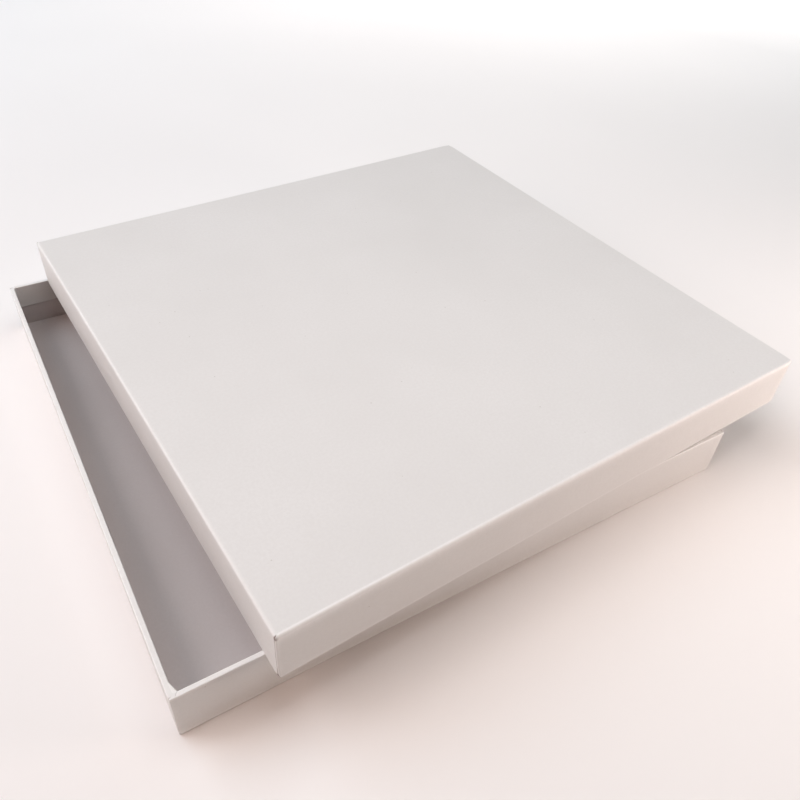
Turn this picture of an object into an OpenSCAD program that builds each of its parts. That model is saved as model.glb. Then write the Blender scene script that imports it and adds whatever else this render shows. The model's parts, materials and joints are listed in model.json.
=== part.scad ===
// Flat square rigid gift box: a shallow tray and a lift-off lid with a deep skirt.
// Each shell is grey board, held at its corners by paper stays, wrapped in one white
// sheet that is turned in over the rim, and lined with a loose-cut inside sheet.
// Units are millimetres. The origin is the centre of the tray's underside, +Z is up,
// and the front of the box faces -Y. The lid lies askew on the tray's rims.

/* [Tray] */
// Outside width and depth of the square tray
tray_size = 300; // [200:1:400]
// Outside height of the tray
tray_h = 29; // [24:0.1:60]

/* [Lid] */
// Gap between the tray and the lid's skirt, on each side, when the box is closed
lid_gap = 1.7; // [0.5:0.1:3]
// Outside height of the lid, from the skirt's edge to its top
lid_h = 28.4; // [24:0.1:60]

/* [Lid as it lies] */
// How far the lid lies to the right of the tray's middle
lid_right = 33.8; // [0:0.1:60]
// How far the lid lies behind the tray's middle
lid_back = 0.3; // [-20:0.1:20]
// Anticlockwise turn of the lid, seen from above, in degrees
lid_turn = 3.1; // [-10:0.1:10]

/* [Board] */
// Thickness of the grey board
board_t = 2; // [1.5:0.1:3]
// Radius that the folded edges of the board are pressed to
fold_r = 1.2; // [0.5:0.1:1.4]

/* [Paper] */
// Thickness of the wrap and of the liner
paper_t = 0.15; // [0.1:0.01:0.3]
// Depth of the wrap that is turned in over the rim
turn_in = 14; // [6:0.5:18]
// Gap between the liner's edge and the walls
liner_gap = 0.6; // [0.2:0.1:2]
// Thickness of a corner stay, which is pressed into the board
stay_t = 0.1; // [0.05:0.01:0.2]
// Length of each leg of a corner stay
stay_leg = 20; // [8:1:40]
// Gap between a corner stay and the upper and lower edges of the board
stay_margin = 1.5; // [1.4:0.1:3]

/* [Hidden] */

wall_t = board_t + 2 * paper_t;
lid_size = tray_size + 2 * (lid_gap + wall_t);
over = 1;
wrap_white = [0.9, 0.88, 0.86];
liner_white = [0.86, 0.84, 0.82];
board_grey = [0.62, 0.6, 0.57];
stay_brown = [0.76, 0.65, 0.5];
$fn = 48;

// A square sheet's outline with round corners, centred on the origin
module rounded_square(size, r) {
    inset = size / 2 - r;
    square([size, 2 * inset], center = true);
    square([2 * inset, size], center = true);
    for (x = [-inset, inset], y = [-inset, inset]) {
        translate([x, y]) circle(r);
    }
}

// A shell's side view, with its two lower corners round
module side_view(size, h, r) {
    inset = size / 2 - r;
    translate([-size / 2, r]) square([size, h - r]);
    translate([-inset, 0]) square([2 * inset, h]);
    for (x = [-inset, inset]) {
        translate([x, r]) circle(r);
    }
}

// The outside of a shell that stands on z = 0, open edge up: a block whose upright
// edges and lower edges are round
module block(size, h, r) {
    intersection() {
        linear_extrude(h) rounded_square(size, r);
        rotate([90, 0, 0]) linear_extrude(size, center = true) side_view(size, h, r);
        rotate([90, 0, 90]) linear_extrude(size, center = true) side_view(size, h, r);
    }
}

// The space that a shell's boards fill from outside to outside, inside the wrap
module board_block(size, h) {
    translate([0, 0, paper_t]) block(size - 2 * paper_t, h - 2 * paper_t, fold_r);
}

// A square hollow with its floor at z = low, open at the top
module hollow(size, low, high) {
    translate([-size / 2, -size / 2, low]) cube([size, size, high - low]);
}

// One stay: a strip folded round the upright corner at the quarter (sx, sy)
module corner_stay(size, h, sx, sy) {
    outer = size - 2 * paper_t;
    low = paper_t + stay_margin;
    length = h - 2 * low;
    middle = outer / 2 - stay_leg / 2;
    intersection() {
        translate([0, 0, low]) difference() {
            linear_extrude(length) rounded_square(outer, fold_r);
            translate([0, 0, -over])
                linear_extrude(length + 2 * over) rounded_square(outer - 2 * stay_t, fold_r - stay_t);
        }
        translate([sx * middle, sy * middle, h / 2])
            cube([stay_leg, stay_leg, h], center = true);
    }
}

module corner_stays(size, h) {
    for (sx = [-1, 1], sy = [-1, 1]) {
        corner_stay(size, h, sx, sy);
    }
}

// The board that closes the shell, between the four walls
module panel_board(size) {
    inner = size - 2 * (paper_t + board_t);
    hollow(inner, paper_t, paper_t + board_t);
}

// The front or back wall (sy = -1 or 1), which runs the full width
module long_wall(size, h, sy) {
    outer = size - 2 * paper_t;
    difference() {
        intersection() {
            board_block(size, h);
            translate([-size / 2, sy * (outer - board_t) / 2 - board_t / 2, 0])
                cube([size, board_t, h]);
        }
        corner_stays(size, h);
    }
}

// The left or right wall (sx = -1 or 1), which stands between the long walls
module short_wall(size, h, sx) {
    outer = size - 2 * paper_t;
    inner = outer - 2 * board_t;
    difference() {
        intersection() {
            board_block(size, h);
            translate([sx * (outer - board_t) / 2 - board_t / 2, -inner / 2, 0])
                cube([board_t, inner, h]);
        }
        corner_stays(size, h);
    }
}

// The outer sheet: under the panel, up the walls, over the rim and down inside
module wrap(size, h) {
    inner = size - 2 * (paper_t + board_t);
    difference() {
        block(size, h, fold_r + paper_t);
        board_block(size, h);
        hollow(inner, paper_t + board_t, h - paper_t);
        hollow(inner - 2 * paper_t, paper_t + board_t, h + over);
    }
    difference() {
        hollow(inner, h - turn_in, h - paper_t);
        hollow(inner - 2 * paper_t, h - turn_in - over, h);
    }
}

// The inside sheet that covers the panel board
module liner(size) {
    inner = size - 2 * (paper_t + board_t);
    floor_z = paper_t + board_t;
    hollow(inner - 2 * liner_gap, floor_z, floor_z + paper_t);
}

// Turns a shell over and lays it on the tray's rims as the lid
module as_lid() {
    translate([lid_right, lid_back, tray_h + lid_h]) rotate(lid_turn) mirror([0, 0, 1]) children();
}

module tray_base_board() { color(board_grey) panel_board(tray_size); }
module tray_front_board() { color(board_grey) long_wall(tray_size, tray_h, -1); }
module tray_back_board() { color(board_grey) long_wall(tray_size, tray_h, 1); }
module tray_left_board() { color(board_grey) short_wall(tray_size, tray_h, -1); }
module tray_right_board() { color(board_grey) short_wall(tray_size, tray_h, 1); }
module tray_stay_front_left() { color(stay_brown) corner_stay(tray_size, tray_h, -1, -1); }
module tray_stay_front_right() { color(stay_brown) corner_stay(tray_size, tray_h, 1, -1); }
module tray_stay_back_left() { color(stay_brown) corner_stay(tray_size, tray_h, -1, 1); }
module tray_stay_back_right() { color(stay_brown) corner_stay(tray_size, tray_h, 1, 1); }
module tray_wrap() { color(wrap_white) wrap(tray_size, tray_h); }
module tray_liner() { color(liner_white) liner(tray_size); }

module lid_top_board() { color(board_grey) as_lid() panel_board(lid_size); }
module lid_front_board() { color(board_grey) as_lid() long_wall(lid_size, lid_h, -1); }
module lid_back_board() { color(board_grey) as_lid() long_wall(lid_size, lid_h, 1); }
module lid_left_board() { color(board_grey) as_lid() short_wall(lid_size, lid_h, -1); }
module lid_right_board() { color(board_grey) as_lid() short_wall(lid_size, lid_h, 1); }
module lid_stay_front_left() { color(stay_brown) as_lid() corner_stay(lid_size, lid_h, -1, -1); }
module lid_stay_front_right() { color(stay_brown) as_lid() corner_stay(lid_size, lid_h, 1, -1); }
module lid_stay_back_left() { color(stay_brown) as_lid() corner_stay(lid_size, lid_h, -1, 1); }
module lid_stay_back_right() { color(stay_brown) as_lid() corner_stay(lid_size, lid_h, 1, 1); }
module lid_wrap() { color(wrap_white) as_lid() wrap(lid_size, lid_h); }
module lid_liner() { color(liner_white) as_lid() liner(lid_size); }

tray_base_board();
tray_front_board();
tray_back_board();
tray_left_board();
tray_right_board();
tray_stay_front_left();
tray_stay_front_right();
tray_stay_back_left();
tray_stay_back_right();
tray_wrap();
tray_liner();
lid_top_board();
lid_front_board();
lid_back_board();
lid_left_board();
lid_right_board();
lid_stay_front_left();
lid_stay_front_right();
lid_stay_back_left();
lid_stay_back_right();
lid_wrap();
lid_liner();
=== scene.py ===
"""Looks for the flat square gift box: a tray and a lift-off lid of grey board wrapped in white paper.

Both shells are built in one local frame, open side up: the panel lies at z = 0, the rim at
z = height, the middle at the origin. The lid is then turned over and laid where the CAD has it.
"""
import json
import math

import bmesh
import bpy
import numpy as np
from mathutils import Matrix, Vector


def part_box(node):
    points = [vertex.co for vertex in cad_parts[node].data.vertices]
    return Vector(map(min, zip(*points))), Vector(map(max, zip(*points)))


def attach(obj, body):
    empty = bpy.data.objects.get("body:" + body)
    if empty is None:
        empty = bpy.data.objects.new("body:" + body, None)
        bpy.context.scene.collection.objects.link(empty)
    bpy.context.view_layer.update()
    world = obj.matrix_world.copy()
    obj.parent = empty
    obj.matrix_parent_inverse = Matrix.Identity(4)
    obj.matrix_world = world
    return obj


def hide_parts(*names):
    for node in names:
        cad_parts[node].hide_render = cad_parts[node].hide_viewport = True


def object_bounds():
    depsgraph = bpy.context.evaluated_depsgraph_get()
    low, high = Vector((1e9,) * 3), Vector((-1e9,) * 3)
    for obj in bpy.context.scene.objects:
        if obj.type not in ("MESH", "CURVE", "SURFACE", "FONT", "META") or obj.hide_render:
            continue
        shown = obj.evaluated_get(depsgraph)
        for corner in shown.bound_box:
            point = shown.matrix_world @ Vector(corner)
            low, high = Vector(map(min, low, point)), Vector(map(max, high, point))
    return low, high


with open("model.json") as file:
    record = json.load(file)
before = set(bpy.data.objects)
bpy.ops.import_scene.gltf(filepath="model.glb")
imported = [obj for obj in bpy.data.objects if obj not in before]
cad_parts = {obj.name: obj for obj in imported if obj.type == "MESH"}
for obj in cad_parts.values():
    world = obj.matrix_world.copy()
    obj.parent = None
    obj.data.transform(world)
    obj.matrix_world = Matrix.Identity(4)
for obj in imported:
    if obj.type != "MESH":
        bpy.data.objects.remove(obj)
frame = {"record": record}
cad_low, cad_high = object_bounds()

MM = 0.001

# Board and paper, as in the CAD
PAPER = 0.15 * MM
BOARD = 2.0 * MM
WALL = BOARD + 2 * PAPER
STAY = 0.1 * MM
STAY_LEG = 20 * MM
STAY_MARGIN = 1.5 * MM
TURN_IN = 14 * MM
LINER_GAP = 0.6 * MM
LID_TURN = math.radians(3.1)

# How the paper and the board are pressed
FOLD_R = 1.2 * MM           # edge between a panel and its walls, outside the wrap
CORNER_R = 0.7 * MM         # upright corner, outside the wrap
RIM_R = 0.45 * MM           # both edges of the rim
INNER_CORNER_R = 1.0 * MM   # upright corner inside the walls
CLEAR = 0.02 * MM           # between pieces that lie on each other
WALL_BOW = 0.4 * MM         # how far a wall's middle is drawn in at the panel
PANEL_BOW = 0.25 * MM       # how far a panel's middle is drawn in
DENT_REACH = 3.4 * MM       # how far below the rim a dent reaches
DARK_DENT = 0.2 * MM        # depth at which a dent's painted shade is as dark as the painted shade beside a flap
KNOCKED_TIP = 1 / 8         # how far a knocked corner's tip moves in, as a share of its reach
WEB_SLANT = 0.35            # fall of a bridged corner along a side wall, for 1 along the front


def smooth(value, start, end):
    """0 before start, 1 after end, smooth between them."""
    t = np.clip((value - start) / (end - start), 0, 1)
    return t * t * (3 - 2 * t)


def bump(value, middle, width):
    """1 at middle, fading out over about width on both sides."""
    return np.exp(-(((value - middle) / width) ** 2))


def spread_from_ends(length, fine, fine_length, growth, coarse=8 * MM):
    """Distances from 0 to length that are fine near both ends and coarse in the middle."""
    half = list(np.arange(0, fine_length, fine))
    step = fine
    while half[-1] + 1.4 * step < length / 2:
        half.append(half[-1] + step)
        step = min(step * growth, coarse)
    return np.array(half + [length / 2] + [length - x for x in reversed(half)])


class Corner:
    """How the paper is folded at one upright corner, with distances from the corner in metres."""

    def __init__(self, flap, bow, web, notch, dark, blunt=0.0):
        self.flap = flap        # cut edge of the left or right flap, at the panel and at the rim
        self.bow = bow          # how much further in that edge runs at half height
        self.web = web          # how far along the front or back wall paper bridges the corner
        self.notch = notch      # depth of the small dents at the corner's two ends
        self.dark = dark        # how dark the painted shade in the gap along the flap's edge and in the dents is
        self.blunt = blunt      # how far along the walls a knocked corner reaches


class Shell:
    """One of the two shells, with its size, its folds and its place."""

    def __init__(self, name, size, height, place, turned_over, rim_shade, corners):
        self.name = name
        self.half = size / 2
        self.height = height
        self.matrix = place
        self.turned_over = turned_over
        self.rim_shade = rim_shade  # how much painted shade lies along the rim's outer edge, for the shadow where the skirt meets what it stands on
        self.corners = corners

    def corner_values(self, points, read):
        """read(corner) for the corner nearest each point, as an array."""
        right = points[..., 0] > 0
        back = points[..., 1] > 0
        table = np.array([
            [read(self.corners["front_left"]), read(self.corners["back_left"])],
            [read(self.corners["front_right"]), read(self.corners["back_right"])],
        ])
        return table[right.astype(int), back.astype(int)]

    def insets(self, points):
        """How far each point lies in from the left or right wall, and from the front or back."""
        return self.half - np.abs(points[..., 0]), self.half - np.abs(points[..., 1])

    def settle(self, points):
        """The gentle bow of the glued box, which every piece of the shell follows."""
        out = points.copy()
        u = points[..., 0] / self.half
        v = points[..., 1] / self.half
        draw = WALL_BOW / self.half * np.clip(1 - points[..., 2] / self.height, 0, 1)
        out[..., 0] *= 1 - draw * (1 - v * v)
        out[..., 1] *= 1 - draw * (1 - u * u)
        out[..., 2] += PANEL_BOW * np.clip(1 - u * u, 0, 1) * np.clip(1 - v * v, 0, 1)
        return out

    def placed(self, points):
        """Local points in the row frame."""
        p = self.settle(points).reshape(-1, 3).copy()
        if self.turned_over:
            p[:, 2] = -p[:, 2]
        turn = np.array(self.matrix.to_3x3())
        return p @ turn.T + np.array(self.matrix.translation)


def flap_edge(shell, points):
    """Distance from the corner to the cut edge of the flap, at each point's height."""
    at_panel = shell.corner_values(points, lambda c: c.flap[0])
    at_rim = shell.corner_values(points, lambda c: c.flap[1])
    bow = shell.corner_values(points, lambda c: c.bow)
    t = np.clip(points[..., 2] / shell.height, 0, 1)
    return at_panel + (at_rim - at_panel) * t + bow * 4 * t * (1 - t)


def dent(shell, points):
    """How far the outside of a side wall is pressed in near its corners."""
    inward, across = shell.insets(points)
    z = points[..., 2]
    depth = shell.corner_values(points, lambda c: c.notch)
    edge = flap_edge(shell, points)
    at_panel = bump(across, edge, 0.4 * MM) * bump(z, FOLD_R + 0.3 * MM, 0.6 * MM)
    below_rim = np.clip(shell.height - z, 0, DENT_REACH)
    rim_width = 1.2 * MM - 0.25 * below_rim
    at_rim = bump(across, edge, rim_width) * smooth(below_rim, DENT_REACH, 0.2 * MM)
    through = np.clip(1 - inward / WALL, 0, 1)
    return depth * (0.5 * at_panel + at_rim) * through


def give_way(shell, points):
    """Moves the points of a dented side wall in. The inside of the wall stays where it is."""
    out = points.copy()
    out[..., 0] -= np.sign(points[..., 0]) * dent(shell, points)
    return out


def knock(shell, points):
    """Moves points in at the corners that are knocked blunt. Outer layers move further than
    inner ones, but never past them."""
    inward, across = shell.insets(points)
    reach = shell.corner_values(points, lambda c: c.blunt)
    short = np.clip(reach - (inward + across), 0, None)
    move = KNOCKED_TIP * short * short / np.maximum(reach, 1e-9)
    out = points.copy()
    out[..., 0] -= np.sign(points[..., 0]) * move
    out[..., 1] -= np.sign(points[..., 1]) * move
    return out


# ---------------------------------------------------------------- meshes

class Patches:
    """Collects grids of points into one mesh with named values at its points."""

    def __init__(self, names=()):
        self.points = []
        self.faces = []
        self.kinds = []
        self.values = {name: [] for name in names}
        self.count = 0

    def add(self, grid, kind=0, closed=False, **values):
        """Adds a rows x columns grid of points, joined in a loop if closed."""
        rows, columns = grid.shape[:2]
        start = self.count
        self.points.append(grid.reshape(-1, 3))
        self.count += rows * columns
        for name, found in self.values.items():
            found.append(np.broadcast_to(values.get(name, 0.0), (rows, columns)).reshape(-1))
        last = columns if closed else columns - 1
        for i in range(rows - 1):
            for j in range(last):
                k = (j + 1) % columns
                a, b = start + i * columns, start + (i + 1) * columns
                self.faces.append((a + j, a + k, b + k, b + j))
                self.kinds.append(kind)

    def mesh(self, name, shell):
        """The welded mesh, in the row frame."""
        mesh = bpy.data.meshes.new(name)
        points = shell.placed(np.concatenate(self.points))
        mesh.from_pydata(points.tolist(), [], self.faces)
        mesh.polygons.foreach_set("material_index", self.kinds)
        for key, found in self.values.items():
            layer = mesh.attributes.new(key, "FLOAT", "POINT")
            layer.data.foreach_set("value", np.concatenate(found).astype(np.float32))
        bm = bmesh.new()
        bm.from_mesh(mesh)
        bmesh.ops.remove_doubles(bm, verts=bm.verts, dist=0.002 * MM)
        bmesh.ops.dissolve_degenerate(bm, edges=bm.edges, dist=0.0005 * MM)
        bmesh.ops.recalc_face_normals(bm, faces=bm.faces)
        bm.to_mesh(mesh)
        bm.free()
        return mesh


def add_piece(patches, shell, node, kind, materials, smooth_shading=True):
    """Makes the patches a piece that rides with the shell and stands for a CAD node."""
    name = f"{node}_{kind}"
    mesh = patches.mesh(name, shell)
    for material in materials:
        mesh.materials.append(material)
    mesh.polygons.foreach_set("use_smooth", [smooth_shading] * len(mesh.polygons))
    piece = bpy.data.objects.new(name, mesh)
    bpy.context.scene.collection.objects.link(piece)
    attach(piece, shell.name)
    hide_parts(node)


# ---------------------------------------------------------------- the wrap

ARC_STEPS = 6


class Outline:
    """A square outline with round corners, always with the same points in the same order."""

    def __init__(self, size):
        along = spread_from_ends(size, 0.13 * MM, 5.2 * MM, 1.5, 10 * MM)
        self.along = along / size
        self.angles = np.linspace(0, math.pi / 2, ARC_STEPS + 1)[1:-1]
        outward = []
        for side in range(4):
            start = math.pi * (side / 2 - 0.5)
            outward += [start] * len(along)
            outward += list(start + self.angles)
        self.outward = np.stack([np.cos(outward), np.sin(outward)], axis=1)

    def ring(self, half, radius, z):
        """The outline's points for one half-width and corner radius at one height."""
        straight = half - radius
        run = straight * (2 * self.along - 1)
        points = []
        for side in range(4):
            start = math.pi * (side / 2 - 0.5)
            out = np.array([math.cos(start), math.sin(start)])
            ahead = np.array([-out[1], out[0]])
            points.append(half * out + run[:, None] * ahead)
            arc = start + self.angles
            turn = np.stack([np.cos(arc), np.sin(arc)], axis=1)
            points.append(straight * (out + ahead) + radius * turn)
        flat = np.concatenate(points)
        return np.column_stack([flat, np.full(len(flat), z)])


def outer_profile(height):
    """(inset, z, corner radius, tilt in degrees) from the panel's edge, up, over and down inside.
    The tilt is the paper's outward direction: -90 under the panel, 0 on the wall, 90 on the rim."""
    rows = []
    for tilt in np.linspace(-90, 0, 9):
        t = math.radians(tilt)
        inset = FOLD_R * (1 - math.cos(t))
        rows.append((inset, FOLD_R * (1 + math.sin(t)), max(CORNER_R - inset, 0), tilt))
    low, high = FOLD_R, height - RIM_R
    for z in low + spread_from_ends(high - low, 0.22 * MM, 2.4 * MM, 1.25)[1:-1]:
        rows.append((0.0, z, CORNER_R, 0.0))
    for tilt in np.linspace(0, 90, 6):
        t = math.radians(tilt)
        rows.append((RIM_R * (1 - math.cos(t)), height - RIM_R * (1 - math.sin(t)), CORNER_R, tilt))
    for inset in np.linspace(RIM_R, WALL - RIM_R, 9)[1:-1]:
        rows.append((inset, height, CORNER_R, 90.0))
    for tilt in np.linspace(90, 180, 6):
        t = math.radians(tilt)
        inset = WALL - RIM_R - RIM_R * math.cos(t)
        rows.append((inset, height - RIM_R * (1 - math.sin(t)), INNER_CORNER_R, tilt))
    low = height - TURN_IN
    for z in np.concatenate([np.linspace(height - 1 * MM, low + 1.2 * MM, 9),
                             np.linspace(low + 0.9 * MM, low, 4)]):
        rows.append((WALL, z, INNER_CORNER_R, 180.0))
    return rows


def inner_profile(height):
    """The same for the side that is glued to the board, from the turn-in's edge to the panel."""
    rows = []
    low = height - TURN_IN
    inner = WALL - PAPER
    for z in np.linspace(low, height - PAPER, 6):
        rows.append((inner, z, INNER_CORNER_R, 180.0))
    for inset in np.linspace(inner, PAPER, 4)[1:]:
        rows.append((inset, height - PAPER, CORNER_R, 90.0))
    low, high = FOLD_R, height - PAPER
    for z in high - spread_from_ends(high - low, 0.5 * MM, 2.5 * MM, 1.4)[1:-1]:
        rows.append((PAPER, z, CORNER_R, 0.0))
    radius = FOLD_R - PAPER
    for tilt in np.linspace(0, -90, 7):
        t = math.radians(tilt)
        inset = PAPER + radius * (1 - math.cos(t))
        z = PAPER + radius * (1 + math.sin(t))
        rows.append((inset, z, max(CORNER_R - inset, 0), tilt))
    return rows


def rings_of(shell, outline, profile):
    """The rings of a profile as a grid, with each point's outward direction."""
    grid, normals = [], []
    for inset, z, radius, tilt in profile:
        grid.append(outline.ring(shell.half - inset, radius, z))
        t = math.radians(tilt)
        up = np.full((len(outline.outward), 1), math.sin(t))
        normals.append(np.hstack([math.cos(t) * outline.outward, up]))
    return np.array(grid), np.array(normals)


def turn_in_cut(shell, grid, tilts):
    """(cut, below_cut): 1 along the cut end of a front or back turn-in, and 1 on the layer that
    it leaves bare. The cut slants across the rim and then down the inside of the wall."""
    inward, across = shell.insets(grid)
    reach = np.clip(across, 0, WALL) / WALL
    down = np.clip(shell.height - RIM_R - grid[..., 2], 0, None) * (tilts > 90)[:, None]
    cut_at = 2.2 * MM + 1.5 * MM * reach + 0.45 * down
    turned = (tilts >= 60)[:, None] * smooth(reach, 0.2, 0.45) * (across < inward + 0.6 * MM)
    turned = turned * np.exp(-down / (2.5 * MM))
    cut = bump(inward, cut_at, 0.14 * MM) * turned
    below_cut = (1 - smooth(inward, cut_at - 0.1 * MM, cut_at + 0.1 * MM)) * turned
    return cut, below_cut


def paper_relief(shell, grid, tilts):
    """(depth, painted shade): how far the wrap's surface lies in beside its layers' edges, and how much
    painted shade each point gets: in the gap beside each flap's edge, at the corner tips, along the cut
    turn-ins, along the lid's rim and under the turn-in's lower edge. The left and right flaps are glued
    over tabs that reach round from the front and the back."""
    inward, across = shell.insets(grid)
    z = grid[..., 2]
    edge = flap_edge(shell, grid)
    on_side_wall = smooth(across - inward, -0.1 * MM, 0.3 * MM)
    outside = (tilts <= 90)[:, None] * on_side_wall
    beside_flap = (1 - smooth(across, edge - 0.07 * MM, edge + 0.07 * MM)) * outside
    gap = bump(across, edge - 0.1 * MM, 0.27 * MM) * outside
    cut, below_cut = turn_in_cut(shell, grid, tilts)
    depth = (0.05 * beside_flap + 0.08 * gap + 0.07 * cut + 0.04 * below_cut) * MM
    # painted shade beside the flaps and at the tips, strongest near the panel and the rim
    ends = 1 - smooth(z, 1.5 * MM, 6 * MM) + smooth(z, shell.height - 8 * MM, shell.height - 2 * MM)
    dark = shell.corner_values(grid, lambda c: c.dark) * (0.55 + 0.45 * ends)
    # painted shade at each corner's tip, by the panel's fold
    tip = bump(across, 0.5 * MM, 0.7 * MM) * bump(inward, 0.3 * MM, 0.7 * MM)
    tip = tip * bump(z, FOLD_R, 0.8 * MM) * (tilts <= 0)[:, None]
    # painted shade along the rim's outer edge
    rim_shade_band = shell.rim_shade * bump(z, shell.height, 0.5 * MM) * (tilts < 70)[:, None]
    low = shell.height - TURN_IN
    # painted shade under the turn-in's lower edge
    lower_edge = (1 - smooth(z, low, low + 0.5 * MM)) * (tilts == 180)[:, None]
    # all the painted shade: flap gaps, tips, cut turn-ins, the lid's rim and the turn-in's lower edge
    seam = dark * gap + dark * tip + 0.5 * cut + rim_shade_band + 0.5 * lower_edge
    return depth, np.clip(seam, 0, 1)


def bridge_inside_corners(shell, grid, tilts):
    """Draws the turned-in paper straight across each inside corner, most at the rim, and
    further along the side walls than along the front and back."""
    a = shell.half - WALL - np.abs(grid[..., 0])
    b = shell.half - WALL - np.abs(grid[..., 1])
    web = shell.corner_values(grid, lambda c: c.web)
    fade = 1 - smooth(shell.height - grid[..., 2], 0, TURN_IN)
    short = np.clip(web * fade - np.maximum(a, 0) - WEB_SLANT * np.maximum(b, 0), 0, None)
    inside = smooth(tilts, 95, 140)[:, None] * (a > -0.5 * MM) * (b > -0.5 * MM)
    move = short * inside / (1 + WEB_SLANT)
    out = grid.copy()
    out[..., 0] -= np.sign(grid[..., 0]) * move
    out[..., 1] -= np.sign(grid[..., 1]) * move
    return out


def rubbed_and_highlit(shell, grid):
    """How strongly each fold is lightened, partly as rubbed paper and partly as a painted highlight:
    most along the front and back, to the left.
    """
    inward, across = shell.insets(grid)
    on_side_wall = smooth(across - inward, -1 * MM, 1 * MM)
    long_walls = 0.95 - 0.45 * grid[..., 0] / shell.half
    return long_walls * (1 - on_side_wall) + 0.3 * on_side_wall


def wear_and_highlight(shell, grid, tilts):
    """How much each ring point is lightened, partly as rubbed paper and partly as a painted highlight:
    1 on folds and corners, 0 on flats.
    """
    z = grid[..., 2]
    tilt = tilts[:, None]
    above_fold = np.clip(z - FOLD_R, 0, None)
    fold = (0.5 + 0.5 * smooth(tilt, -90, -65)) * np.exp(-above_fold / (1.4 * MM)) * (tilt <= 0)
    rim = (tilt > 0) * (tilt < 180) * (0.5 + 0.5 * (np.abs(tilt - 90) > 10))
    rim = rim + bump(z, shell.height - RIM_R, 0.8 * MM) * (tilt == 0) * 0.4
    inward, across = shell.insets(grid)
    upright = bump(across + inward, 0.4 * MM, 0.9 * MM) * (tilt <= 0)
    return np.clip(fold * rubbed_and_highlit(shell, grid) + rim + 0.2 * upright, 0, 1)


def panel_grid(outline, half, z):
    """The flat of a panel, as a grid that meets the square ring of that half-width."""
    run = half * (2 * outline.along - 1)
    x, y = np.meshgrid(run, run)
    return np.stack([x, y, np.full_like(x, z)], axis=-1)


def lift_cut_edge(shell, grid, tilts):
    """The turn-in's cut edge wanders a little and stands off the board."""
    low = shell.height - TURN_IN
    inside = (tilts == 180)[:, None]
    near = (1 - smooth(grid[..., 2], low, low + 2.5 * MM)) * inside
    around = grid[..., 0] + 1.7 * grid[..., 1]
    wander = 0.25 * np.sin(around * 41) + 0.15 * np.sin(around * 103 + 1)
    out = grid.copy()
    out[..., 2] += near * wander * MM
    off = near ** 2 * (0.22 + 0.14 * np.sin(around * 67 + 2)) * MM
    for axis in (0, 1):
        wall = np.abs(grid[..., axis]) > shell.half - WALL - 0.01 * MM
        out[..., axis] -= np.sign(grid[..., axis]) * off * wall
    return out


def build_wrap(shell, node, materials):
    """The outer sheet: panel, walls, rim and turn-in, with its corner folds."""
    outline = Outline(2 * shell.half)
    # values at each point: painted shade, and edge, a lightening that is partly rubbed paper and partly
    # a painted highlight
    patches = Patches(("seam", "edge"))
    outer = outer_profile(shell.height)
    tilts = np.array([row[3] for row in outer])
    grid, normals = rings_of(shell, outline, outer)
    # folds, rims and upright corners lightened: rubbed paper and painted highlight
    worn_and_highlit = wear_and_highlight(shell, grid, tilts)
    depth, seam = paper_relief(shell, grid, tilts)
    # painted shade in the dents on the side walls, darker where a dent is deeper
    on_side = smooth(np.abs(outline.outward[:, 0]), 0.3, 0.7) * (tilts < 90)[:, None]
    dark = shell.corner_values(grid, lambda c: c.dark) * on_side
    seam = np.clip(seam + dark * (dent(shell, grid) / DARK_DENT) ** 1.5, 0, 1)
    grid = give_way(shell, grid - normals * depth[..., None])
    grid = bridge_inside_corners(shell, grid, tilts)
    grid = knock(shell, lift_cut_edge(shell, grid, tilts))
    patches.add(grid, closed=True, seam=seam, edge=worn_and_highlit)

    inner = inner_profile(shell.height)
    tilts = np.array([row[3] for row in inner])
    back = give_way(shell, rings_of(shell, outline, inner)[0])
    back = bridge_inside_corners(shell, back, tilts)
    back = knock(shell, lift_cut_edge(shell, back, tilts))
    patches.add(back, kind=1, closed=True)
    patches.add(np.array([grid[-1], back[0]]), kind=1, closed=True)

    half = shell.half - FOLD_R
    flat = panel_grid(outline, half, 0.0)
    from_fold = half - np.abs(flat[..., :2]).max(axis=-1)
    # the panel's outer edge lightened too: rubbed paper and painted highlight
    worn_and_highlit = 0.5 * rubbed_and_highlit(shell, flat) * bump(from_fold, 0, 0.4 * MM)
    patches.add(knock(shell, flat), edge=worn_and_highlit)
    patches.add(knock(shell, panel_grid(outline, half, PAPER)), kind=1)
    add_piece(patches, shell, node, "sheet", materials)


# ---------------------------------------------------------------- boards, stays and liners

def box_patches(patches, xs, ys, zs, kinds, change):
    """The six faces of a block as grids. kinds names the material of each face, in the order
    left, right, front, back, lower, upper. change(points) gives each face its true shape."""
    for fixed, (levels, first, second) in enumerate(((xs, ys, zs), (ys, xs, zs), (zs, xs, ys))):
        for i, level in enumerate((levels[0], levels[-1])):
            grid = list(np.meshgrid(first, second))
            grid.insert(fixed, np.full_like(grid[0], level))
            patches.add(change(np.stack(grid, axis=-1)), kind=kinds[2 * fixed + i])


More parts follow.
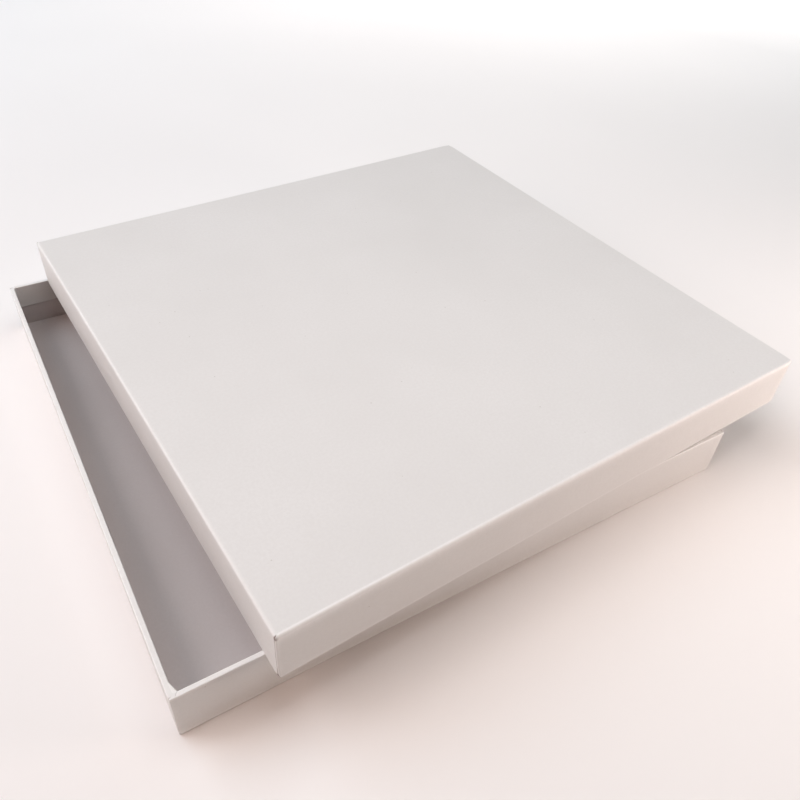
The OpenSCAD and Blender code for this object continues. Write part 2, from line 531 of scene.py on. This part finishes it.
def in_envelope(points, half, low, radius):
    """Pulls points that stand out of a shell's rounded outside back onto it."""
    out = points.copy()
    # the round edge between the walls and the panel
    for axis in (0, 1):
        inset = half - np.abs(out[..., axis])
        rise = out[..., 2] - low
        corner = (inset < radius) & (rise < radius)
        reach = np.hypot(radius - inset, radius - rise)
        pull = np.where(corner & (reach > radius), radius / np.maximum(reach, 1e-12), 1.0)
        out[..., axis] = np.sign(out[..., axis]) * (half - radius + (radius - inset) * pull)
        out[..., 2] = np.where(corner, low + radius - (radius - rise) * pull, out[..., 2])
    # the round upright corners
    a = np.abs(out[..., 0]) - (half - radius)
    b = np.abs(out[..., 1]) - (half - radius)
    both = (a > 0) & (b > 0) & (np.hypot(a, b) > radius)
    pull = np.where(both, radius / np.maximum(np.hypot(a, b), 1e-12), 1.0)
    for axis, past in ((0, a), (1, b)):
        moved = np.sign(out[..., axis]) * (half - radius + past * pull)
        out[..., axis] = np.where(both, moved, out[..., axis])
    return out


def board_shape(shell):
    """The function that gives a board's points the shell's rounded outside and its dents, and
    a shallow recess for the stays."""
    outer = shell.half - PAPER - CLEAR
    low = PAPER + CLEAR
    stay_low = PAPER + STAY_MARGIN

    def change(points):
        out = points.copy()
        for axis, other in ((0, 1), (1, 0)):
            outside = np.abs(points[..., axis]) > outer - 0.01 * MM
            under_stay = smooth(np.abs(points[..., other]), outer - STAY_LEG - 0.2 * MM,
                                outer - STAY_LEG + 0.2 * MM)
            tall = (points[..., 2] > stay_low) & (points[..., 2] < shell.height - stay_low)
            recess = (STAY + CLEAR) * under_stay * tall * outside
            out[..., axis] -= np.sign(points[..., axis]) * recess
        out = in_envelope(out, outer, low, FOLD_R - PAPER)
        return knock(shell, give_way(shell, out))
    return change


def build_panel_board(shell, node, materials):
    """The board that closes the shell, lined with white on its inside face."""
    half = shell.half - PAPER - BOARD - CLEAR
    run = spread_from_ends(2 * half, 1 * MM, 3 * MM, 1.6) - half
    zs = np.linspace(PAPER + CLEAR, PAPER + BOARD - CLEAR, 5)
    patches = Patches()
    box_patches(patches, run, run, zs, (0, 0, 0, 0, 0, 1), lambda p: p)
    add_piece(patches, shell, node, "panel", materials, smooth_shading=False)


def build_wall_board(shell, side, node, materials):
    """One wall of board. The front and back walls run the full width."""
    outer = shell.half - PAPER - CLEAR
    inner = shell.half - PAPER - BOARD
    long_wall = side in ("front", "back")
    sign = 1 if side in ("back", "right") else -1
    end = outer if long_wall else inner - CLEAR
    run = spread_from_ends(2 * end, 0.35 * MM, 3.5 * MM, 1.35) - end
    across = np.linspace(inner, outer, 7) if sign > 0 else np.linspace(-outer, -inner, 7)
    low, high = PAPER + CLEAR, shell.height - PAPER - CLEAR
    zs = low + spread_from_ends(high - low, 0.3 * MM, 2.4 * MM, 1.5)
    lined = (1, 0) if sign > 0 else (0, 1)  # the inside face is lined
    if long_wall:
        xs, ys = run, across
        kinds = (0, 0, *lined, 0, 0)
    else:
        xs, ys = across, run
        kinds = (*lined, 0, 0, 0, 0)
    patches = Patches()
    box_patches(patches, xs, ys, zs, kinds, board_shape(shell))
    add_piece(patches, shell, node, "wall", materials)


def build_stay(shell, sx, sy, node, materials):
    """A paper strip folded round one upright corner of the boards."""
    outer = shell.half - PAPER - CLEAR
    radius = FOLD_R - PAPER
    low, high = PAPER + STAY_MARGIN, shell.height - PAPER - STAY_MARGIN
    arc = np.linspace(0, math.pi / 2, 9)[1:-1]
    legs = np.linspace(STAY_LEG, radius, 12)

    def path(offset):
        reach = outer - offset
        bend = radius - offset
        first = [(outer - d, reach) for d in legs]
        turn = [(outer - radius + bend * math.sin(a), outer - radius + bend * math.cos(a)) for a in arc]
        second = [(reach, outer - d) for d in reversed(legs)]
        return np.array(first + turn + second)

    def sheet(offset, levels):
        flat = path(offset)
        grid = np.zeros((len(levels), len(flat), 3))
        grid[..., 0] = sx * flat[:, 0]
        grid[..., 1] = sy * flat[:, 1]
        grid[..., 2] = np.array(levels)[:, None]
        # the strip's two ends are cut a little out of square
        lean = ((grid[:, 0, 2] - low) / (high - low) - 0.5) * 0.5 * MM
        grid[:, 0, 0] -= sx * lean
        grid[:, -1, 1] -= sy * lean
        return knock(shell, give_way(shell, grid))

    levels = np.linspace(low, high, 14)
    outside, inside = sheet(0.0, levels), sheet(STAY, levels)
    patches = Patches()
    patches.add(outside)
    patches.add(inside)
    for row in (0, -1):
        patches.add(np.array([outside[row], inside[row]]))
        patches.add(np.array([outside[:, row], inside[:, row]]))
    add_piece(patches, shell, node, "strip", materials)


def build_liner(shell, node, curl, materials):
    """The inside sheet, trimmed by hand, with edges that curl up a little along the walls."""
    half = shell.half - PAPER - BOARD - LINER_GAP
    floor = PAPER + BOARD
    run = spread_from_ends(2 * half, 0.4 * MM, 4 * MM, 1.35) - half

    def change(points):
        out = points.copy()
        x, y = points[..., 0], points[..., 1]
        wave_x = 0.22 * np.sin(61 * y + 0.4) + 0.13 * np.sin(173 * y)
        wave_y = 0.25 * np.sin(53 * x + 2.1) + 0.16 * np.sin(151 * x + 0.7)
        wave_y = wave_y - 0.7 * (y > 0)  # it was cut short at the back
        out[..., 0] += np.sign(x) * smooth(np.abs(x), half - 6 * MM, half) * wave_x * MM
        out[..., 1] += np.sign(y) * smooth(np.abs(y), half - 6 * MM, half) * wave_y * MM
        gap = np.minimum(half - np.abs(x), half - np.abs(y))
        rise = 0.55 + 0.3 * np.sin(47 * x + 1.3) + 0.25 * np.sin(71 * y + 0.5)
        out[..., 2] += curl * np.exp(-gap / (1.6 * MM)) * rise
        return out

    patches = Patches()
    zs = np.array([floor + CLEAR, floor + PAPER])
    box_patches(patches, run, run, zs, (0,) * 6, change)
    add_piece(patches, shell, node, "sheet", materials)


# ---------------------------------------------------------------- materials

class Nodes:
    """A material's node tree with short calls for the nodes that are used here."""

    def __init__(self, name):
        self.material = bpy.data.materials.new(name)
        self.material.use_nodes = True
        self.tree = self.material.node_tree
        self.shader = self.tree.nodes["Principled BSDF"]
        self.place = self.tree.nodes.new("ShaderNodeTexCoord").outputs["Object"]

    def link(self, source, node, name):
        self.tree.links.new(source, node.inputs[name])

    def noise(self, scale, detail=2.0, roughness=0.5, stretch=None):
        """Cloudy noise from 0 to 1, finer along an axis with a larger stretch."""
        place = self.place
        if stretch:
            mapping = self.tree.nodes.new("ShaderNodeMapping")
            mapping.inputs["Scale"].default_value = stretch
            self.link(place, mapping, "Vector")
            place = mapping.outputs["Vector"]
        node = self.tree.nodes.new("ShaderNodeTexNoise")
        node.inputs["Scale"].default_value = scale
        node.inputs["Detail"].default_value = detail
        node.inputs["Roughness"].default_value = roughness
        self.link(place, node, "Vector")
        return node.outputs["Fac"]

    def cells(self, scale):
        node = self.tree.nodes.new("ShaderNodeTexVoronoi")
        node.inputs["Scale"].default_value = scale
        self.link(self.place, node, "Vector")
        return node.outputs["Distance"]

    def distance(self):
        """The distance from the object's origin."""
        node = self.tree.nodes.new("ShaderNodeVectorMath")
        node.operation = "LENGTH"
        self.link(self.place, node, "Vector")
        return node.outputs["Value"]

    def attribute(self, name):
        node = self.tree.nodes.new("ShaderNodeAttribute")
        node.attribute_name = name
        return node.outputs["Fac"]

    def between(self, source, low, high, start=0.0, end=1.0):
        """Source mapped so that low becomes start and high becomes end, and held there."""
        node = self.tree.nodes.new("ShaderNodeMapRange")
        node.inputs["From Min"].default_value = low
        node.inputs["From Max"].default_value = high
        node.inputs["To Min"].default_value = start
        node.inputs["To Max"].default_value = end
        self.link(source, node, "Value")
        return node.outputs["Result"]

    def math(self, operation, first, second):
        node = self.tree.nodes.new("ShaderNodeMath")
        node.operation = operation
        for i, value in enumerate((first, second)):
            if isinstance(value, (int, float)):
                node.inputs[i].default_value = value
            else:
                self.tree.links.new(value, node.inputs[i])
        return node.outputs["Value"]

    def mix(self, factor, first, second):
        node = self.tree.nodes.new("ShaderNodeMix")
        node.data_type = "RGBA"
        self.tree.links.new(factor, node.inputs[0])
        for i, value in ((6, first), (7, second)):
            if isinstance(value, tuple):
                node.inputs[i].default_value = (*value, 1.0)
            else:
                self.tree.links.new(value, node.inputs[i])
        return node.outputs[2]

    def tint(self, colour, share, strength, other):
        """Colour with other mixed in, as much as share times strength says."""
        return self.mix(self.math("MULTIPLY", share, strength), colour, other)

    def raise_surface(self, *layers):
        """Stacks bumps: (height from 0 to 1, its real height in metres)."""
        normal = None
        for height, distance in layers:
            node = self.tree.nodes.new("ShaderNodeBump")
            node.inputs["Strength"].default_value = 1.0
            node.inputs["Distance"].default_value = distance
            self.link(height, node, "Height")
            if normal is not None:
                self.link(normal, node, "Normal")
            normal = node.outputs["Normal"]
        self.link(normal, self.shader, "Normal")

    def finish(self, colour, roughness):
        self.link(colour, self.shader, "Base Color")
        self.link(roughness, self.shader, "Roughness")
        return self.material


def wrap_material():
    """Smooth matt white art paper: faint cloudy tone, fine grain, specks, edges lightened by rubbing
    and by a painted highlight, and painted shade in gaps, dents and along layer edges.
    """
    m = Nodes("wrap_paper")
    cloud = m.between(m.noise(14, 3), 0.3, 0.7)
    colour = m.mix(cloud, (0.735, 0.712, 0.693), (0.765, 0.742, 0.725))
    grain = m.between(m.noise(700, 3, 0.6), 0.35, 0.65)
    colour = m.tint(colour, grain, 0.35, (0.70, 0.672, 0.652))
    speck = m.between(m.cells(190), 0.055, 0.075, 1.0, 0.0)
    rare = m.between(m.noise(60, 1), 0.64, 0.66)
    colour = m.tint(colour, m.math("MULTIPLY", speck, rare), 0.45, (0.42, 0.38, 0.34))
    # edge lightens the folds, rims and corners: partly rubbed paper, partly a painted highlight, made
    # patchy by noise
    edge = m.attribute("edge")
    colour = m.tint(colour, edge, 0.85, (0.91, 0.89, 0.87))
    rub_and_highlight = m.math("MULTIPLY", edge, m.between(m.noise(420, 5, 0.75), 0.35, 0.75))
    colour = m.tint(colour, rub_and_highlight, 0.7, (0.95, 0.94, 0.93))
    nick = m.math("MULTIPLY", edge, m.between(m.noise(560, 3, 0.6), 0.68, 0.76))
    colour = m.tint(colour, nick, 0.35, (0.45, 0.40, 0.36))
    # painted shade from the mesh: beside the flaps, in the dents, at the tips, along cut turn-ins,
    # under the turn-in's edge, along the lid's rim
    colour = m.tint(colour, m.attribute("seam"), 0.95, (0.14, 0.085, 0.065))
    rough = m.between(m.noise(90, 3), 0.3, 0.7, 0.50, 0.62)
    rough = m.math("SUBTRACT", rough, m.math("MULTIPLY", edge, 0.16))
    fine = m.noise(1500, 4, 0.65)
    fibre = m.noise(420, 2, 0.5)
    crumple = m.math("MULTIPLY", edge, m.noise(170, 3, 0.55))
    m.raise_surface((crumple, 0.07 * MM), (fibre, 0.02 * MM), (fine, 0.012 * MM))
    return m.finish(colour, rough)


def back_material():
    """The unprinted side of the wrap: a little duller, with dried glue."""
    m = Nodes("wrap_back")
    glue = m.between(m.noise(55, 3), 0.45, 0.6)
    colour = m.mix(glue, (0.70, 0.67, 0.63), (0.62, 0.58, 0.51))
    rough = m.between(glue, 0, 1, 0.85, 0.6)
    m.raise_surface((m.noise(900, 3), 0.015 * MM),)
    return m.finish(colour, rough)


def liner_material():
    """Plain uncoated white paper."""
    m = Nodes("liner_paper")
    cloud = m.between(m.noise(18, 3), 0.3, 0.7)
    colour = m.mix(cloud, (0.655, 0.593, 0.581), (0.685, 0.623, 0.611))
    grain = m.between(m.noise(800, 3, 0.6), 0.35, 0.65)
    colour = m.tint(colour, grain, 0.3, (0.62, 0.555, 0.537))
    rough = m.between(m.noise(120, 2), 0.3, 0.7, 0.7, 0.82)
    m.raise_surface((m.noise(380, 3), 0.025 * MM), (m.noise(1300, 4), 0.015 * MM))
    return m.finish(colour, rough)


def board_material():
    """Grey board: pressed waste fibre with darker and lighter flecks, in layers."""
    m = Nodes("grey_board")
    layers = m.noise(60, 3, 0.5, (1, 1, 40))
    colour = m.mix(m.between(layers, 0.3, 0.7), (0.30, 0.275, 0.24), (0.39, 0.36, 0.32))
    dark = m.between(m.noise(520, 4, 0.7, (1, 3, 2)), 0.62, 0.7)
    colour = m.tint(colour, dark, 0.6, (0.14, 0.12, 0.10))
    pale = m.between(m.noise(430, 4, 0.7, (3, 1, 2)), 0.62, 0.72)
    colour = m.tint(colour, pale, 0.5, (0.58, 0.55, 0.50))
    rough = m.between(layers, 0.3, 0.7, 0.85, 0.95)
    m.raise_surface((m.noise(300, 4, 0.6, (1, 1, 6)), 0.06 * MM), (m.noise(1100, 3), 0.03 * MM))
    return m.finish(colour, rough)


def stay_material():
    """Brown gummed kraft paper, with its lengthwise fibre."""
    m = Nodes("stay_paper")
    fibre = m.noise(240, 4, 0.65, (1, 1, 5))
    colour = m.mix(m.between(fibre, 0.3, 0.7), (0.40, 0.26, 0.14), (0.52, 0.36, 0.21))
    fleck = m.between(m.noise(700, 3, 0.7), 0.64, 0.7)
    colour = m.tint(colour, fleck, 0.5, (0.25, 0.15, 0.08))
    rough = m.between(fibre, 0.3, 0.7, 0.75, 0.88)
    m.raise_surface((fibre, 0.02 * MM), (m.noise(1200, 2), 0.01 * MM))
    return m.finish(colour, rough)


# ---------------------------------------------------------------- the two shells

def make_shells():
    """The two shells, at the CAD's sizes and places. Each corner is given as its flap, bow, web, notch,
    dark (the strength of its painted shade) and, where it is knocked, blunt."""
    low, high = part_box("tray_wrap")
    tray = Shell("tray", high.x - low.x, high.z - low.z, Matrix.Identity(4), False, 0.0, {
        "front_left": Corner((1.4 * MM, 1.1 * MM), 0.3 * MM, 1.7 * MM, 0.06 * MM, 0.4),
        "front_right": Corner((1.2 * MM, 1.6 * MM), 0.2 * MM, 1.4 * MM, 0.1 * MM, 0.4),
        "back_left": Corner((1.3 * MM, 1.8 * MM), 0.3 * MM, 0.5 * MM, 0.12 * MM, 0.4),
        "back_right": Corner((1.1 * MM, 1.7 * MM), 0.4 * MM, 1.6 * MM, 0.1 * MM, 0.5),
    })
    low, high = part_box("lid_wrap")
    top = next(m for m in frame["record"]["mounts"] if m["name"] == "lid_top")
    place = Matrix.Translation(Vector(top["pos_m"])) @ Matrix.Rotation(LID_TURN, 4, "Z")
    # the box round a turned square is wider than the square by this factor, but for its corners
    spread = math.cos(LID_TURN) + math.sin(LID_TURN)
    size = (high.x - low.x + 2 * CORNER_R * (spread - 1)) / spread
    lid = Shell("lid", size, high.z - low.z, place, True, 0.3, {
        "front_left": Corner((1.1 * MM, 0.8 * MM), 0.3 * MM, 1.8 * MM, 0.35 * MM, 1.0),
        "front_right": Corner((1.2 * MM, 1.6 * MM), 0.3 * MM, 1.4 * MM, 0.15 * MM, 0.4, 6 * MM),
        "back_left": Corner((1.0 * MM, 1.5 * MM), 0.3 * MM, 1.3 * MM, 0.15 * MM, 0.5),
        "back_right": Corner((1.4 * MM, 1.1 * MM), 0.4 * MM, 1.5 * MM, 0.15 * MM, 0.5, 9 * MM),
    })
    return tray, lid


def build_shell(shell, panel, liner_curl, paper, board, stay, liner):
    """All the pieces of one shell."""
    build_wrap(shell, shell.name + "_wrap", paper)
    build_panel_board(shell, f"{shell.name}_{panel}_board", board)
    for side in ("front", "back", "left", "right"):
        build_wall_board(shell, side, f"{shell.name}_{side}_board", board)
    for y_name, sy in (("front", -1), ("back", 1)):
        for x_name, sx in (("left", -1), ("right", 1)):
            build_stay(shell, sx, sy, f"{shell.name}_stay_{y_name}_{x_name}", stay)
    build_liner(shell, shell.name + "_liner", liner_curl, liner)


liner_paper = liner_material()
paper = [wrap_material(), back_material()]
board = [board_material(), liner_paper]
stay = [stay_material()]
tray, lid = make_shells()
build_shell(tray, "base", 0.8 * MM, paper, board, stay, [liner_paper])
build_shell(lid, "top", 0.3 * MM, paper, board, stay, [liner_paper])


# ---------------------------------------------------------------- stage, light and camera

# The studio, in metres
FLOOR_HALF = 4.0        # half the floor's width
DOME_RADIUS = 3.8       # the backdrop
STUDIO_COLOUR = (1.0, 0.97, 0.96)
STUDIO_GLOW = 0.8       # brightness of the backdrop and of the floor far from the lamps
GLOW_START = 0.9        # distance at which the floor starts to glow
GLOW_FULL = 1.9         # distance from which it glows as brightly as the backdrop


def add_floor():
    """A plain pale floor. Far from the lamps it glows, as if it were lit evenly there too."""
    mesh = bpy.data.meshes.new("floor")
    corners = [(FLOOR_HALF * x, FLOOR_HALF * y, 0) for x, y in ((-1, -1), (1, -1), (1, 1), (-1, 1))]
    mesh.from_pydata(corners, [], [(0, 1, 2, 3)])
    m = Nodes("floor")
    tone = m.between(m.noise(3, 2), 0.3, 0.7)
    colour = m.mix(tone, (0.925, 0.893, 0.877), (0.945, 0.913, 0.897))
    m.shader.inputs["Emission Color"].default_value = (*STUDIO_COLOUR, 1.0)
    glow = m.between(m.distance(), GLOW_START, GLOW_FULL, 0.0, STUDIO_GLOW)
    m.link(glow, m.shader, "Emission Strength")
    mesh.materials.append(m.finish(colour, m.between(tone, 0, 1, 0.85, 0.95)))
    floor = bpy.data.objects.new("floor", mesh)
    bpy.context.scene.collection.objects.link(floor)


def add_backdrop():
    """A plain pale dome behind everything, which is seen but sheds no light on the box."""
    mesh = bpy.data.meshes.new("backdrop")
    bm = bmesh.new()
    bmesh.ops.create_uvsphere(bm, u_segments=48, v_segments=24, radius=DOME_RADIUS)
    bm.to_mesh(mesh)
    bm.free()
    m = Nodes("backdrop")
    m.shader.inputs["Base Color"].default_value = (0.0, 0.0, 0.0, 1.0)
    m.shader.inputs["Specular IOR Level"].default_value = 0.0
    m.shader.inputs["Emission Color"].default_value = (*STUDIO_COLOUR, 1.0)
    m.shader.inputs["Emission Strength"].default_value = STUDIO_GLOW
    mesh.materials.append(m.material)
    dome = bpy.data.objects.new("backdrop", mesh)
    dome.visible_diffuse = False
    dome.visible_glossy = False
    dome.visible_shadow = False
    bpy.context.scene.collection.objects.link(dome)


def add_softbox(name, place, target, size, power, colour):
    """A square area light that faces target, with its size in metres and its power in watts."""
    light = bpy.data.lights.new(name, "AREA")
    light.size = size
    light.energy = power
    light.color = colour
    lamp = bpy.data.objects.new(name, light)
    lamp.location = place
    lamp.rotation_mode = "QUATERNION"
    lamp.rotation_quaternion = (Vector(target) - Vector(place)).to_track_quat("-Z", "Y")
    bpy.context.scene.collection.objects.link(lamp)


def add_world(strength, colour):
    """Faint even light from all round."""
    world = bpy.data.worlds.new("studio")
    world.use_nodes = True
    background = world.node_tree.nodes["Background"]
    background.inputs["Color"].default_value = (*colour, 1.0)
    background.inputs["Strength"].default_value = strength
    bpy.context.scene.world = world


def add_camera(aim, distance, azimuth, elevation, roll, lens):
    """A camera that looks at aim; azimuth 0 looks along +Y, angles are in degrees and the lens
    in millimetres."""
    a, e = math.radians(azimuth), math.radians(elevation)
    back = Vector((math.sin(a) * math.cos(e), -math.cos(a) * math.cos(e), math.sin(e)))
    data = bpy.data.cameras.new("camera")
    data.lens = lens
    data.clip_start = 0.01
    camera = bpy.data.objects.new("camera", data)
    camera.location = Vector(aim) + distance * back
    camera.rotation_mode = "QUATERNION"
    turn = Matrix.Rotation(math.radians(roll), 3, "Z").to_quaternion()
    camera.rotation_quaternion = (-back).to_track_quat("-Z", "Y") @ turn
    bpy.context.scene.collection.objects.link(camera)
    bpy.context.scene.camera = camera


add_floor()
add_backdrop()
add_world(0.01, (1.0, 0.95, 0.92))
middle = (0.02, 0.0, 0.03)
add_softbox("overhead", (0.03, -0.06, 0.55), middle, 0.35, 1.07, (0.99, 0.98, 0.98))
add_softbox("left", (-1.1, 0.0, 1.0), middle, 1.2, 10.2, (1.0, 0.76, 0.67))
add_softbox("right", (1.4, 0.2, 1.0), middle, 1.2, 6.4, (0.80, 0.94, 1.0))
add_softbox("back_left", (-0.8, 0.9, 1.0), middle, 1.3, 16.5, (0.79, 0.91, 1.0))
add_softbox("front_right", (0.8, -1.0, 0.8), middle, 0.8, 0.8, (1.0, 0.42, 0.05))
add_softbox("low_front", (0.48, -0.42, 0.13), middle, 0.2, 1.58, (1.0, 0.88, 0.83))
add_softbox("far_floor", (0.7, 0.8, 0.9), (1.2, 1.4, 0.0), 1.0, 9.0, (1.0, 0.97, 0.96))
add_camera((-0.0080, -0.0747, cad_high.z), distance=0.3603, azimuth=-33.95, elevation=41.96,
           roll=4.36, lens=33.81)
bpy.context.scene.view_settings.view_transform = "Standard"
